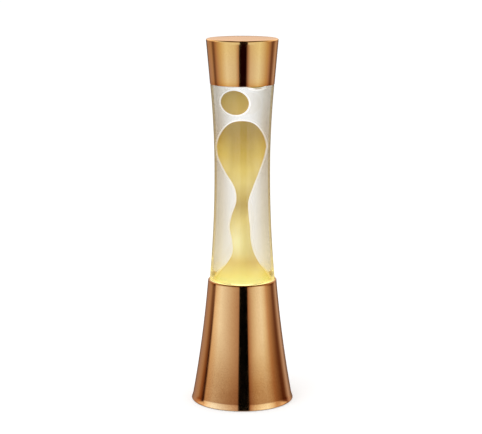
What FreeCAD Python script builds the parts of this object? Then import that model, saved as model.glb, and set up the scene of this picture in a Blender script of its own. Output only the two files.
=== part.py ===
# A liquid motion lamp: a flared metal base with a reflector bulb inside, a waisted glass
# bottle of clear liquid and wax that stands in the base, and a metal cap over the bottle's neck.
# Millimetres, +Z up. The origin is on the table, under the middle of the lamp. The front is -Y,
# and the mains lead's inlet is at the back, +Y.

import FreeCAD, Part
import math
import os

from FreeCAD import Vector

# Heights of the three parts that show, one above the other.
base_height = 136.0
glass_height = 215.1
cap_height = 48.9

# The base: a spun metal shell, flared, with a rim curled in and a lip that turns out at the foot.
shell_wall = 1.0
base_rim_radius = 37.75
base_side_bow = 1.45
rim_curl = 1.4
rim_angle = 75.0
foot_radius = 54.4
foot_height = 8.0
foot_lip_curve = 38.0
shell_floor_gap = 0.8

# The plate that closes the base from below.
plate_wall = 2.0
plate_gap = 0.3
plate_underside = 3.0
plate_edge_height = 3.0
plate_dish_rise = 5.0
plate_dish_radius = 20.0
plate_dish_slope = 3.0
vent_count = 16
vent_width = 3.0
vent_length = 12.0
vent_circle_radius = 33.0

# Screws that hold the plate, and the tabs welded inside the shell that they bite in.
plate_screw_count = 3
plate_screw_angle = 30.0
plate_screw_inset = 7.0
plate_screw_radius = 1.5
plate_screw_length = 7.0
plate_screw_head_radius = 3.0
plate_screw_head_height = 1.6
screw_slot_width = 0.8
screw_slot_depth = 0.7
thread_gap = 0.05
screw_hole_gap = 0.3
tab_wall = 1.2
tab_gap = 0.1
tab_leg_height = 9.0
tab_reach = 11.0
tab_width = 10.0

# Rubber feet with stems through the plate.
foot_count = 4
foot_angle = 45.0
foot_inset = 11.0
rubber_foot_radius = 6.0
rubber_foot_round = 1.0
rubber_stem_radius = 2.4
rubber_stem_gap = 0.1
rubber_bead_height = 3.0

# The ring inside the base that the bottle's heel stands on.
seat_wall = 1.2
seat_bottle_gap = 0.2
seat_shell_gap = 0.1
seat_angle = 45.0
seat_cone_inner = 3.0
seat_cone_outer = 2.2
seat_skirt_height = 7.0

# The lead's grommet at the back of the base.
inlet_height = 18.0
inlet_bore_radius = 3.2
inlet_neck_radius = 4.6
inlet_hole_gap = 0.1
inlet_flange_radius = 6.6
inlet_flange_out = 2.6
inlet_flange_in = 3.4

# The lampholder, on a hollow threaded rod through the plate.
rod_radius = 4.95
rod_bore_radius = 3.6
rod_above_plate = 8.0
rod_below_plate = 4.4
rod_hole_gap = 0.1
nut_across_flats = 14.0
nut_height = 3.0
nut_chamfer = 0.5
washer_radius = 9.0
washer_thickness = 0.8
holder_radius = 13.5
holder_wall = 1.8
holder_floor = 9.0
holder_length = 47.0
dome_height = 20.0
dome_round = 5.0
wire_port_width = 5.2
wire_port_height = 4.6
lap_height = 4.0
lap_wall = 0.85
lap_gap = 0.1
core_gap = 0.2
core_rise = 14.0
core_thickness = 12.0
collar_wall = 1.8
collar_height = 19.0
skirt_lip = 3.0
terminal_offset = 6.6
terminal_radius = 1.5
terminal_head_radius = 2.7
terminal_head_height = 1.4
terminal_length = 6.0
tongue_width = 4.0
tongue_thickness = 0.4
tongue_length = 9.0
tongue_foot = 1.1
tongue_crown = 2.2
tongue_rise = 2.0

# The bulb: a small screw cap with a 39 mm reflector envelope.
thread_pitch = 2.82
thread_depth = 0.8
thread_crest_radius = 6.95
thread_side_gap = 0.2
screw_shell_wall = 0.3
screw_shell_lap = 0.15
sleeve_wall = 0.35
sleeve_turns = 6.0
sleeve_rise = 1.5
bulb_thread_turns = 5.0
contact_gap = 0.2
contact_radius = 2.3
contact_height = 0.9
contact_round = 0.3
insulator_cone_height = 1.8
insulator_top_height = 1.8
insulator_foot_radius = 3.2
insulator_gap = 0.1
bulb_collar_radius = 7.5
bulb_collar_height = 5.0
bulb_collar_wall = 0.4
bulb_neck_gap = 0.15
bulb_length = 67.0
bulb_radius = 19.5
bulb_glass = 0.7
bulb_throat_height = 6.0
bulb_throat_radius = 10.0
bulb_belly_bow = 1.8
bulb_face_height = 12.0
bulb_face_radius = 17.0
bulb_face_rise = 5.0
bulb_shoulder_bow = 0.9
stem_radius = 2.6
stem_length = 16.0
stem_flare_height = 1.2
lead_radius = 0.35
lead_inset = 1.3
lead_depth = 2.6
lead_spread = 5.0
lead_length = 9.0
filament_radius = 0.45
filament_rise = 3.0
filament_gap = 0.1

# The bottle: blown glass, waisted, with a thick floor, standing down inside the base.
bottle_gap = 0.3
bottle_sink = 12.0
heel_round = 12.0
glass_wall = 3.0
glass_floor = 10.0
floor_round = 8.0
punt_depth = 3.0
punt_radius = 22.0
waist_radius = 30.3
waist_rise = 121.0
shoulder_radius = 34.5
shoulder_round = 4.0
shoulder_slope = 30.0
neck_radius = 12.6
neck_wall = 3.2
neck_root_round = 5.0
bottle_headroom = 11.0
finish_ring_radius = 13.3
finish_ring_height = 3.5
finish_ring_round = 0.9
transfer_ring_radius = 14.6
transfer_ring_height = 3.0
transfer_ring_round = 1.0
transfer_ring_drop = 11.0

# The crown cap that seals the bottle, with its liner.
liner_thickness = 0.8
crown_gap = 0.1
crown_wall = 0.4
crown_skirt_height = 5.6
crown_skirt_radius = 16.0
crown_flutes = 21
crown_flute_radius = 1.3
crown_flute_depth = 0.65

# What the bottle holds. Heights are taken from the cap's mouth down, and "across" is to the right.
fill_gap = 0.1
fill_below_finish = 22.0
wax_gap = 0.3
ball_radius = 11.5
ball_half_height = 13.4
ball_below_cap = 19.6
ball_across = -6.0
ball_travel = 5.5
drop_radius = 9.5
drop_half_height = 5.0
drop_across = 11.3
drop_back = 3.0
coil_ring_radius = 13.5
coil_radius = 2.4
coil_floor_gap = 0.3
coil_wax_gap = 0.4
column_below_ball = 6.1
column_bulb_share = 0.835
column_bulb_radius = 20.1
column_bulb_lean = -0.7
column_tip_radius = 0.6

# The bulb's dome is a quarter ellipse, with its cosine and its sine raised to these powers.
column_dome_flank = 0.76
column_dome_crown = 1.33

# The wax column under its bulb, from the bottle's floor up: the share of the column's height,
# the radius there, and how far the middle of the section leans to the right.
column_sections = (
    (0.000, 22.6, 0.2),
    (0.045, 19.6, 0.3),
    (0.110, 13.2, 0.7),
    (0.175, 8.9, 0.7),
    (0.250, 7.7, -0.6),
    (0.340, 8.3, -2.0),
    (0.415, 6.9, -1.7),
    (0.500, 5.0, 0.0),
    (0.585, 7.4, 1.1),
    (0.685, 13.8, -0.2),
    (0.775, 18.7, -1.0),
)

# The cap: a spun metal cup, wider at the top, whose mouth sits on the bottle's shoulder.
cap_wall = 0.7
cap_mouth_overhang = 0.4
cap_seat_gap = 0.2
cap_top_radius = 39.2
cap_edge_round = 1.6

# Heights and radii that follow from the sizes above.
cap_mouth_z = base_height + glass_height
lamp_height = cap_mouth_z + cap_height
cap_mouth_radius = shoulder_radius + cap_mouth_overhang
bottle_foot_z = base_height - bottle_sink
glass_floor_z = bottle_foot_z + glass_floor
waist_z = base_height + waist_rise
bottle_top_z = lamp_height - cap_wall - bottle_headroom
fill_z = bottle_top_z - fill_below_finish
plate_top = plate_underside + plate_wall
dish_top = plate_top + plate_dish_rise
dish_underside = dish_top - plate_wall
core_z = dish_top + core_rise
core_top = core_z + core_thickness
holder_bore_radius = holder_radius - holder_wall
tongue_top = core_top + tongue_rise + tongue_thickness
contact_z = tongue_top + contact_gap
insulator_z = contact_z + contact_height
screw_shell_z = insulator_z + insulator_cone_height
screw_shell_top = screw_shell_z + bulb_thread_turns * thread_pitch
stem_foot_z = screw_shell_top + screw_shell_wall + bulb_neck_gap
bulb_collar_top = screw_shell_top + bulb_collar_height
bulb_top = contact_z + bulb_length
sleeve_z = core_top + sleeve_rise
thread_offset = thread_depth / 2
screw_shell_radius = thread_crest_radius - thread_offset
screw_shell_bore = screw_shell_radius - screw_shell_wall - thread_offset
sleeve_radius = screw_shell_radius + thread_side_gap + sleeve_wall
collar_bore_radius = sleeve_radius + thread_offset + core_gap
collar_radius = collar_bore_radius + collar_wall

AXIS = Vector(0, 0, 1)
ORIGIN = Vector(0, 0, 0)


# Sections and turned solids.


def at(radius, z):
    """A point of a turned piece's section."""
    return Vector(radius, 0, z)


def toward(degrees):
    """The direction in a section that rises from level by that angle."""
    return at(math.cos(math.radians(degrees)), math.sin(math.radians(degrees)))


def line(start, end):
    return Part.LineSegment(start, end).toShape()


def arc(start, middle, end):
    return Part.Arc(start, middle, end).toShape()


def arc_about(centre, radius, first, last):
    """The arc about a centre between two angles above the level."""
    middle = (first + last) / 2
    return arc(*[centre + toward(angle) * radius for angle in (first, middle, last)])


def bowed(start, end, bow):
    """The arc between two points that stands off the straight, to its right, by the bow."""
    side = Vector(end.z - start.z, 0, start.x - end.x)
    side.normalize()
    return arc(start, (start + end) * 0.5 + side * bow, end)


def wall_end(one_face, other_face):
    """The half round that ends a sheet, from one of its faces to the other."""
    return bowed(other_face, one_face, (one_face - other_face).Length / 2)


def outline(points):
    """Straight edges through the points, closed."""
    return [line(a, b) for a, b in zip(points, points[1:] + points[:1])]


def turned(edges):
    """The solid that a closed section makes when it is turned about the lamp's axis."""
    return Part.Face(Part.Wire(edges)).revolve(ORIGIN, AXIS, 360)


def disc(radius, z, height):
    return Part.makeCylinder(radius, height, Vector(0, 0, z))


def ring(outer, inner, z, height):
    return disc(outer, z, height).cut(disc(inner, z, height))


def post(across, radius, z, height):
    """An upright cylinder that stands off the lamp's axis, on the +X side."""
    return Part.makeCylinder(radius, height, Vector(across, 0, z))


def round_edge(solid, rounding, radius, z):
    """Rounds the circular edge of that radius at that height."""
    found = []
    for edge in solid.Edges:
        box = edge.BoundBox
        level = max(abs(box.ZMin - z), abs(box.ZMax - z)) < 0.01
        if level and abs(box.XMax - radius) < 0.05:
            found.append(edge)
    return solid.makeFillet(rounding, found)


def around(solid, count, first_turn=0.0):
    """Copies of a solid, evenly spaced about the lamp's axis."""
    copies = []
    for number in range(count):
        copy = solid.copy()
        copy.rotate(ORIGIN, AXIS, first_turn + number * 360.0 / count)
        copies.append(copy)
    return Part.makeCompound(copies)


def sheet(points, thickness):
    """A bent sheet in section: the points are one face, and the other lies to their left."""
    far_face = []
    for number, point in enumerate(points):
        normals = []
        for a, b in zip(points[max(number - 1, 0) : number + 1], points[max(number, 1) : number + 2]):
            normal = Vector(a.z - b.z, 0, b.x - a.x)
            normal.normalize()
            normals.append(normal)
        mitre = normals[0] + normals[-1]
        mitre.normalize()
        far_face.append(point + mitre * (thickness / mitre.dot(normals[0])))
    return outline(points + far_face[::-1])


class Side:
    """A concave side in section: part of a circle whose centre lies outside the lamp."""

    def __init__(self, centre, radius):
        self.centre = centre
        self.radius = radius

    def radius_at(self, z, inset=0.0):
        """The lamp's radius at height z on the face that lies inset within the outer one."""
        drop = z - self.centre.z
        return self.centre.x - math.sqrt((self.radius + inset) ** 2 - drop**2)

    def point(self, z, inset=0.0):
        """The outer face's point at height z, moved into the wall, square to the face."""
        outer = at(self.radius_at(z), z)
        inward = outer - self.centre
        inward.normalize()
        return outer + inward * inset

    def edge(self, z_from, z_to, inset=0.0):
        middle = (z_from + z_to) / 2
        return arc(self.point(z_from, inset), self.point(middle, inset), self.point(z_to, inset))

    def facing(self, z):
        """The angle above the level that the outer face faces at height z."""
        outward = self.centre - self.point(z)
        return math.degrees(math.atan2(outward.z, outward.x))

    def carried_on(self, z, radius):
        """The side that goes on from height z in the same direction, with another curve."""
        outward = self.centre - self.point(z)
        outward.normalize()
        return Side(self.point(z) + outward * radius, radius)


def bowed_side(low, high, bow):
    """The side from a low point to a high one that bows in from the straight by that much."""
    chord = high - low
    radius = (chord.Length**2 / 4 + bow**2) / (2 * bow)
    outward = Vector(chord.z, 0, -chord.x)
    outward.normalize()
    return Side((low + high) * 0.5 + outward * (radius - bow), radius)


def waisted_side(end):
    """The side that is upright at the bottle's waist and passes through the end."""
    rise = end.z - waist_z
    spread = end.x - waist_radius
    radius = (rise**2 + spread**2) / (2 * spread)
    return Side(at(waist_radius + radius, waist_z), radius)


# The base shell and what is fixed in it.

rim_z = base_height - rim_curl
shell_foot_z = shell_floor_gap + shell_wall / 2
shell_side = bowed_side(at(foot_radius, foot_height), at(base_rim_radius, rim_z), base_side_bow)
shell_lip = shell_side.carried_on(foot_height, foot_lip_curve)
rim_centre = shell_side.point(rim_z, rim_curl)
rim_mid_curl = rim_curl - shell_wall / 2
rim_bore_radius = (rim_centre + toward(rim_angle) * rim_mid_curl).x - shell_wall / 2


def shell_radius_at(z, inset):
    """The radius of the face that lies inset within the base's outer face."""
    side = shell_side if z > foot_height else shell_lip
    return side.radius_at(z, inset)


def shell_wall_solid():
    """The base's wall, before the lead's hole is cut."""
    facing = shell_side.facing(rim_z)
    inner_curl = rim_curl - shell_wall
    return turned(
        [
            arc_about(rim_centre, rim_curl, rim_angle, facing),
            shell_side.edge(rim_z, foot_height),
            shell_lip.edge(foot_height, shell_foot_z),
            wall_end(shell_lip.point(shell_foot_z), shell_lip.point(shell_foot_z, shell_wall)),
            shell_lip.edge(shell_foot_z, foot_height, shell_wall),
            shell_side.edge(foot_height, rim_z, shell_wall),
            arc_about(rim_centre, inner_curl, facing, rim_angle),
            wall_end(
                rim_centre + toward(rim_angle) * inner_curl,
                rim_centre + toward(rim_angle) * rim_curl,
            ),
        ]
    )


def inlet_cylinder(radius, inside, outside):
    """A cylinder on the inlet's axis, which reaches in and out from the base's outer face."""
    face = shell_radius_at(inlet_height, 0)
    start = Vector(0, face - inside, inlet_height)
    return Part.makeCylinder(radius, inside + outside, start, Vector(0, 1, 0))


def base_shell():
    """Spun and plated metal, open above for the bottle and below for the plate."""
    reach = 2 * inlet_flange_radius
    return shell_wall_solid().cut(inlet_cylinder(inlet_neck_radius + inlet_hole_gap, reach, reach))


def cord_grommet():
    """Rubber, snapped in the shell's hole, with a flange on each side that follows the wall."""
    reach = 2 * inlet_flange_radius
    blank = inlet_cylinder(inlet_flange_radius, inlet_flange_in + shell_wall, inlet_flange_out)
    wall = shell_wall_solid().cut(inlet_cylinder(inlet_neck_radius, reach, reach))
    return blank.cut(wall).cut(inlet_cylinder(inlet_bore_radius, reach, reach))


def bottle_seat():
    """A pressed ring: a cone that the bottle's heel stands on, a ledge and a welded skirt."""
    heel_centre = at(bottle_foot_radius - heel_round, bottle_foot_z + heel_round)
    up_the_cone = toward(seat_angle)
    contact = heel_centre + toward(seat_angle - 90) * (heel_round + seat_bottle_gap)
    inner = contact - up_the_cone * seat_cone_inner
    outer = contact + up_the_cone * seat_cone_outer
    inset = shell_wall + seat_shell_gap
    skirt_z = outer.z - seat_skirt_height
    corner = at(shell_radius_at(outer.z, inset), outer.z)
    foot = at(shell_radius_at(skirt_z, inset), skirt_z)
    return turned(sheet([foot, corner, outer, inner], seat_wall))


# The plate, its screws and tabs, and the feet.

plate_radius = shell_radius_at(plate_top + plate_edge_height, shell_wall + plate_gap)
screw_circle_radius = plate_radius - plate_screw_inset
foot_circle_radius = plate_radius - foot_inset


def base_plate():
    """A moulded plate with an upright edge, a raised dish for the holder, and its holes."""
    edge_top = plate_top + plate_edge_height
    dish_foot = plate_dish_radius + plate_dish_slope
    hole = rod_radius + rod_hole_gap
    plate = turned(
        outline(
            [
                at(plate_radius, plate_underside),
                at(plate_radius, edge_top),
                at(plate_radius - plate_wall, edge_top),
                at(plate_radius - plate_wall, plate_top),
                at(dish_foot, plate_top),
                at(plate_dish_radius, dish_top),
                at(hole, dish_top),
                at(hole, dish_underside),
                at(plate_dish_radius - plate_wall / 2, dish_underside),
                at(dish_foot - plate_wall / 2, plate_underside),
            ]
        )
    )
    vent = Part.makeBox(
        vent_length,
        vent_width,
        plate_wall,
        Vector(vent_circle_radius - vent_length / 2, -vent_width / 2, plate_underside),
    )
    screw_hole = post(
        screw_circle_radius, plate_screw_radius + screw_hole_gap, plate_underside, plate_wall
    )
    stem_hole = post(
        foot_circle_radius, rubber_stem_radius + rubber_stem_gap, plate_underside, plate_wall
    )
    plate = plate.cut(around(vent, vent_count, 180.0 / vent_count))
    plate = plate.cut(around(screw_hole, plate_screw_count, plate_screw_angle))
    return plate.cut(around(stem_hole, foot_count, foot_angle))


def shell_tabs():
    """Angle tabs welded inside the shell: a leg up the wall, and a step over the plate's edge
    down to the plate, where the screw bites."""
    inset = shell_wall + tab_gap
    low_z = plate_top + tab_gap
    step_z = plate_top + plate_edge_height + tab_gap + tab_wall
    leg_top = step_z + tab_leg_height
    step_radius = plate_radius - plate_wall - plate_gap
    band = turned(
        sheet(
            [
                at(step_radius - tab_reach, low_z),
                at(step_radius, low_z),
                at(step_radius, step_z - tab_wall),
                at(shell_radius_at(step_z, inset), step_z - tab_wall),
                at(shell_radius_at(leg_top, inset), leg_top),
            ],
            tab_wall,
        )
    )
    keep = Part.makeBox(foot_radius, tab_width, leg_top, Vector(0, -tab_width / 2, 0))
    hole = post(screw_circle_radius, plate_screw_radius + thread_gap, 0, leg_top)
    return around(band.common(keep).cut(hole), plate_screw_count, plate_screw_angle)


def slotted_screw(across, head_radius, head_height, radius, length, head_z):
    """An upright screw, head down, with a slot across the head."""
    head = post(across, head_radius, head_z, head_height)
    slot = Part.makeBox(
        2 * head_radius,
        screw_slot_width,
        screw_slot_depth,
        Vector(across - head_radius, -screw_slot_width / 2, head_z),
    )
    return head.cut(slot).fuse(post(across, radius, head_z + head_height, length))


def plate_screws():
    """Screws up through the plate into the tabs."""
    screw = slotted_screw(
        screw_circle_radius,
        plate_screw_head_radius,
        plate_screw_head_height,
        plate_screw_radius,
        plate_screw_length,
        plate_underside - plate_screw_head_height,
    )
    return around(screw, plate_screw_count, plate_screw_angle)


def rubber_feet():
    """Round feet, each with a stem through the plate and a bead above that keeps it in."""
    bead_z = plate_top + rubber_stem_gap
    foot = disc(rubber_foot_radius, 0, plate_underside)
    foot = round_edge(foot, rubber_foot_round, rubber_foot_radius, 0)
    stem = disc(rubber_stem_radius, plate_underside, bead_z - plate_underside)
    bead = Part.makeCone(
        rubber_stem_radius + 2 * rubber_stem_gap,
        rubber_stem_radius / 2,
        rubber_bead_height,
        at(0, bead_z),
    )
    whole = foot.fuse(stem).fuse(bead)
    whole.translate(Vector(foot_circle_radius, 0, 0))
    return around(whole, foot_count, foot_angle)


# The lampholder.


def holder_rod():
    """The hollow threaded rod that carries the lampholder."""
    low = dish_underside - rod_below_plate
    return ring(rod_radius, rod_bore_radius, low, dish_top + rod_above_plate - low)


def rod_washer():
    bore = rod_radius + rod_hole_gap
    return ring(washer_radius, bore, dish_underside - washer_thickness, washer_thickness)


def rod_nut():
    """A hexagon nut under the plate, chamfered below."""
    corner = nut_across_flats / math.sqrt(3)
    low = dish_underside - washer_thickness - nut_height
    corners = [Vector(corner, 0, low)]
    for number in range(1, 6):
        turn = math.radians(60 * number)
        corners.append(Vector(corner * math.cos(turn), corner * math.sin(turn), low))
    blank = Part.Face(Part.Wire(outline(corners))).extrude(Vector(0, 0, nut_height))
    foot = corner - nut_chamfer
    chamfer = Part.makeCone(foot, foot + nut_height, nut_height, at(0, low))
    return blank.common(chamfer).cut(disc(rod_radius + thread_gap, low, nut_height))


def holder_dome():
    """The lower half of the holder's case, screwed to the rod, with a ledge for the core. The
    lead's wires come in from the back, between its floor and the core."""
    ledge_radius = holder_bore_radius - holder_wall
    lap_radius = holder_bore_radius + lap_wall
    seam_z = dish_top + dome_height
    rod_hole = rod_radius + thread_gap
    dome = turned(
        outline(
            [
                at(rod_hole, dish_top),
                at(holder_radius, dish_top),
                at(holder_radius, seam_z),
                at(lap_radius, seam_z),
                at(lap_radius, seam_z + lap_height),
                at(holder_bore_radius, seam_z + lap_height),
                at(holder_bore_radius, core_z),
                at(ledge_radius, core_z),
                at(ledge_radius, dish_top + holder_floor),
                at(rod_hole, dish_top + holder_floor),
            ]
        )
    )
    dome = round_edge(dome, dome_round, holder_radius, dish_top)
    port_z = (dish_top + holder_floor + core_z - wire_port_height) / 2
    corner = Vector(-wire_port_width / 2, 0, port_z)
    return dome.cut(Part.makeBox(wire_port_width, holder_radius, wire_port_height, corner))


def holder_skirt():
    """The upper half of the case, screwed over the lower, with a lip that holds the core."""
    low = dish_top + dome_height + lap_gap
    lap_top = low + lap_height
    lap_radius = holder_bore_radius + lap_wall + lap_gap
    top = dish_top + holder_length
    mouth_radius = collar_radius + core_gap
    return turned(
        outline(
            [
                at(lap_radius, low),
                at(holder_radius, low),
                at(holder_radius, top - skirt_lip),
                at(holder_bore_radius, top),
                at(mouth_radius, top),
                at(mouth_radius, top - skirt_lip),
                at(holder_bore_radius, top - skirt_lip - (holder_bore_radius - mouth_radius)),
                at(holder_bore_radius, lap_top),
                at(lap_radius, lap_top),
            ]
        )
    )


def both_terminals(solid):
    """The same solid on the left and on the right of the axis."""
    return around(solid, 2)


def holder_core():
    """The ceramic block that carries the contacts, with a collar round the bulb's thread."""
    block = disc(holder_bore_radius - core_gap, core_z, core_thickness)
    collar = ring(collar_radius, collar_bore_radius, core_top, collar_height)
    hole = post(terminal_offset, terminal_radius + thread_gap, core_z, terminal_length)
    return block.fuse(collar).cut(both_terminals(hole))


def terminal_screws():
    """The two screws under the core that clamp the lead's wires."""
    screw = slotted_screw(
        terminal_offset,
        terminal_head_radius,
        terminal_head_height,
        terminal_radius,
        terminal_length - thread_gap,
        core_z - terminal_head_height,
    )
    return both_terminals(screw)


def thread_body(radius, z, turns):
    """A bar with a rounded one-start thread: each level section is a circle of that radius,
    and the circles' centres climb a helix."""
    helix = Part.makeHelix(thread_pitch, turns * thread_pitch, thread_offset)
    sweep = Part.BRepOffsetAPI.MakePipeShell(Part.Wire(helix.Edges))
    sweep.setTrihedronMode(ORIGIN, AXIS)
    sweep.add(Part.Wire([Part.makeCircle(radius, Vector(thread_offset, 0, 0), AXIS)]))
    sweep.build()
    sweep.makeSolid()
    body = sweep.shape()
    body.rotate(ORIGIN, AXIS, 360.0 * (z - sleeve_z) / thread_pitch)
    body.translate(Vector(0, 0, z))
    return body


def threaded_tube(radius, wall, z, turns):
    return thread_body(radius, z, turns).cut(thread_body(radius - wall, z, turns))


def holder_sleeve():
    """The threaded brass sleeve in the collar, which the bulb screws into."""
    return threaded_tube(sleeve_radius, sleeve_wall, sleeve_z, sleeve_turns)


def holder_tongue():
    """The springy centre contact, a strip on the core that arches up under the bulb's tip."""
    half = tongue_length / 2
    crown_z = core_top + tongue_rise
    section = sheet(
        [
            at(-half, core_top),
            at(-half + tongue_foot, core_top),
            at(-tongue_crown, crown_z),
            at(tongue_crown, crown_z),
            at(half - tongue_foot, core_top),
            at(half, core_top),
        ],
        tongue_thickness,
    )
    strip = Part.Face(Part.Wire(section)).extrude(Vector(0, tongue_width, 0))
    strip.translate(Vector(0, -tongue_width / 2, 0))
    return strip


# The bulb.


def bulb_contact():
    """The solder tip."""
    tip = disc(contact_radius, contact_z, contact_height)
    return round_edge(tip, contact_round, contact_radius, contact_z)


def bulb_insulator():
    """The black glass that parts the tip from the screw shell."""
    radius = screw_shell_bore - insulator_gap
    top = screw_shell_z + insulator_top_height
    return turned(
        outline(
            [
                at(0, insulator_z),
                at(insulator_foot_radius, insulator_z),
                at(radius, screw_shell_z),
                at(radius, top),
                at(0, top),
            ]
        )
    )


def bulb_screw_shell():
    """The threaded shell, and above it the plain collar that the glass is cemented in. The
    thread runs a little way into the step between them."""
    turns = bulb_thread_turns + screw_shell_lap / thread_pitch
    thread = threaded_tube(screw_shell_radius, screw_shell_wall, screw_shell_z, turns)
    step_bore = screw_shell_bore - insulator_gap
    land = ring(bulb_collar_radius, step_bore, screw_shell_top, screw_shell_wall)
    collar_bore = bulb_collar_radius - bulb_collar_wall
    collar = ring(bulb_collar_radius, collar_bore, screw_shell_top, bulb_collar_height)
    return thread.fuse([land, collar])


def bulb_body(inset):
    """The form of the envelope or, with an inset, of the space in it."""
    neck = bulb_collar_radius - bulb_collar_wall - bulb_neck_gap - inset
    foot = at(neck, stem_foot_z - inset)
    collar = at(neck, bulb_collar_top)
    throat = at(bulb_throat_radius - inset, bulb_collar_top + bulb_throat_height)
    widest = at(bulb_radius - inset, bulb_top - bulb_face_height)
    face_curve = (bulb_face_radius**2 + bulb_face_rise**2) / (2 * bulb_face_rise)
    face_centre = at(0, bulb_top - face_curve)
    face_angle = math.degrees(math.acos(bulb_face_radius / face_curve))
    face_edge = face_centre + toward(face_angle) * (face_curve - inset)
    return turned(
        [
            line(at(0, foot.z), foot),
            line(foot, collar),
            line(collar, throat),
            bowed(throat, widest, bulb_belly_bow),
            bowed(widest, face_edge, bulb_shoulder_bow),
            arc_about(face_centre, face_curve - inset, face_angle, 90),
            line(at(0, bulb_top - inset), at(0, foot.z)),
        ]
    )


def bulb_envelope():
    """Blown glass: a neck open below, a silvered reflector and a frosted face."""
    return bulb_body(0).cut(bulb_body(bulb_glass))


def bulb_stem():
    """The glass pillar inside that carries the lead-in wires, on its flared foot."""
    neck_bore = bulb_collar_radius - bulb_collar_wall - bulb_neck_gap - bulb_glass
    flare = disc(neck_bore - insulator_gap, stem_foot_z, stem_flare_height)
    stem = flare.fuse(disc(stem_radius, stem_foot_z, stem_length))
    return stem.cut(bulb_leads())


def bulb_leads():
    """The two lead-in wires, which lean out from the pillar to the filament's ends."""
    low = Vector(lead_inset, 0, stem_foot_z + stem_length - lead_depth)
    high = Vector(lead_spread, 0, stem_foot_z + stem_length + lead_length)
    wire = Part.makeCylinder(lead_radius, (high - low).Length, low, high - low)
    return around(wire, 2)


def bulb_filament():
    """The coiled filament, as the round rod that its windings fill, arched over the wires."""
    end_z = stem_foot_z + stem_length + lead_length + lead_radius + filament_radius + filament_gap
    left = Vector(-lead_spread, 0, end_z)
    path = arc(left, Vector(0, 0, end_z + filament_rise), Vector(lead_spread, 0, end_z))
    tangent = path.tangentAt(path.FirstParameter)
    section = Part.Wire([Part.makeCircle(filament_radius, left, tangent)])
    return Part.Wire([path]).makePipeShell([section], True, False)


# The bottle and its closure.

bottle_foot_radius = rim_bore_radius - bottle_gap
cap_bore_radius = cap_mouth_radius - cap_wall
shoulder_centre_radius = shoulder_radius - shoulder_round
shoulder_reach = shoulder_round + cap_seat_gap
cap_bore_offset = cap_bore_radius - shoulder_centre_radius
shoulder_z = cap_mouth_z - math.sqrt(shoulder_reach**2 - cap_bore_offset**2)
lower_glass = waisted_side(at(bottle_foot_radius, base_height))
upper_glass = waisted_side(at(shoulder_radius, shoulder_z))


def glass_edges(foot, shoulder_curve, neck, top, inset):
    """The section of the glass's outer face or, with an inset, of a face within it."""
    centre = at(shoulder_centre_radius, shoulder_z)
    turn = 90 - shoulder_slope
    low = upper_glass.point(shoulder_z, inset)
    middle = centre + toward(turn / 2) * shoulder_curve
    high = centre + toward(turn) * shoulder_curve
    root = at(neck, high.z + (high.x - neck) * math.tan(math.radians(shoulder_slope)))
    mid_z = (foot.z + waist_z) / 2
    waist = lower_glass.point(waist_z, inset)
    return [
        line(at(0, foot.z), foot),
        arc(foot, lower_glass.point(mid_z, inset), waist),
        upper_glass.edge(waist_z, shoulder_z, inset),
        arc(low, middle, high),
        line(high, root),
        line(root, at(neck, top)),
        line(at(neck, top), at(0, top)),
        line(at(0, top), at(0, foot.z)),
    ], root


def bottle_form():
    """The outside of the glass, as a solid, from its foot to the top of its neck."""
    foot = at(lower_glass.radius_at(bottle_foot_z), bottle_foot_z)
    edges, root = glass_edges(foot, shoulder_round, neck_radius, bottle_top_z, 0)
    form = round_edge(turned(edges), neck_root_round, neck_radius, root.z)
    return round_edge(form, heel_round, foot.x, foot.z)


def bottle_space(gap, top):
    """The space inside the glass up to a height, less a gap all round."""
    inset = glass_wall + gap
    foot_z = glass_floor_z + gap
    foot = at(lower_glass.radius_at(foot_z, inset), foot_z)
    neck = neck_radius - neck_wall - gap
    edges, _ = glass_edges(foot, shoulder_round - inset, neck, top, inset)
    return round_edge(turned(edges), floor_round, foot.x, foot.z)


def neck_ring(radius, height, rounding, z, rounded_z):
    """A bead round the neck, rounded at one of its edges."""
    return round_edge(disc(radius, z, height), rounding, radius, rounded_z)


def glass_bottle():
    """Blown glass with a punt below, and a crown finish and a transfer ring on its neck."""
    finish = neck_ring(
        finish_ring_radius,
        finish_ring_height,
        finish_ring_round,
        bottle_top_z - finish_ring_height,
        bottle_top_z,
    )
    transfer_z = bottle_top_z - transfer_ring_drop
    transfer = neck_ring(
        transfer_ring_radius,
        transfer_ring_height,
        transfer_ring_round,
        transfer_z,
        transfer_z,
    )
    punt_curve = (punt_radius**2 + punt_depth**2) / (2 * punt_depth)
    punt = Part.makeSphere(punt_curve, at(0, bottle_foot_z + punt_depth - punt_curve))
    bottle = bottle_form().fuse(finish).fuse(transfer)
    return bottle.cut(punt).cut(bottle_space(0, bottle_top_z))


def crown_liner():
    return disc(finish_ring_radius, bottle_top_z + crown_gap, liner_thickness)


def crown_cap():
    """Pressed tinplate with a fluted skirt, crimped under the finish ring."""
    bore = finish_ring_radius + crown_gap
    ceiling = bottle_top_z + liner_thickness + 2 * crown_gap
    top = ceiling + crown_wall
    skirt_z = top - crown_skirt_height
    cap = turned(
        outline(
            [
                at(0, ceiling),
                at(bore, ceiling),
                at(bore, skirt_z),
                at(crown_skirt_radius, skirt_z),
                at(bore + crown_wall, top),
                at(0, top),
            ]
        )
    )
    flute_across = crown_skirt_radius - crown_flute_depth + crown_flute_radius
    flute = post(flute_across, crown_flute_radius, skirt_z, crown_skirt_height)
    return cap.cut(around(flute, crown_flutes))


# What the bottle holds.


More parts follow.
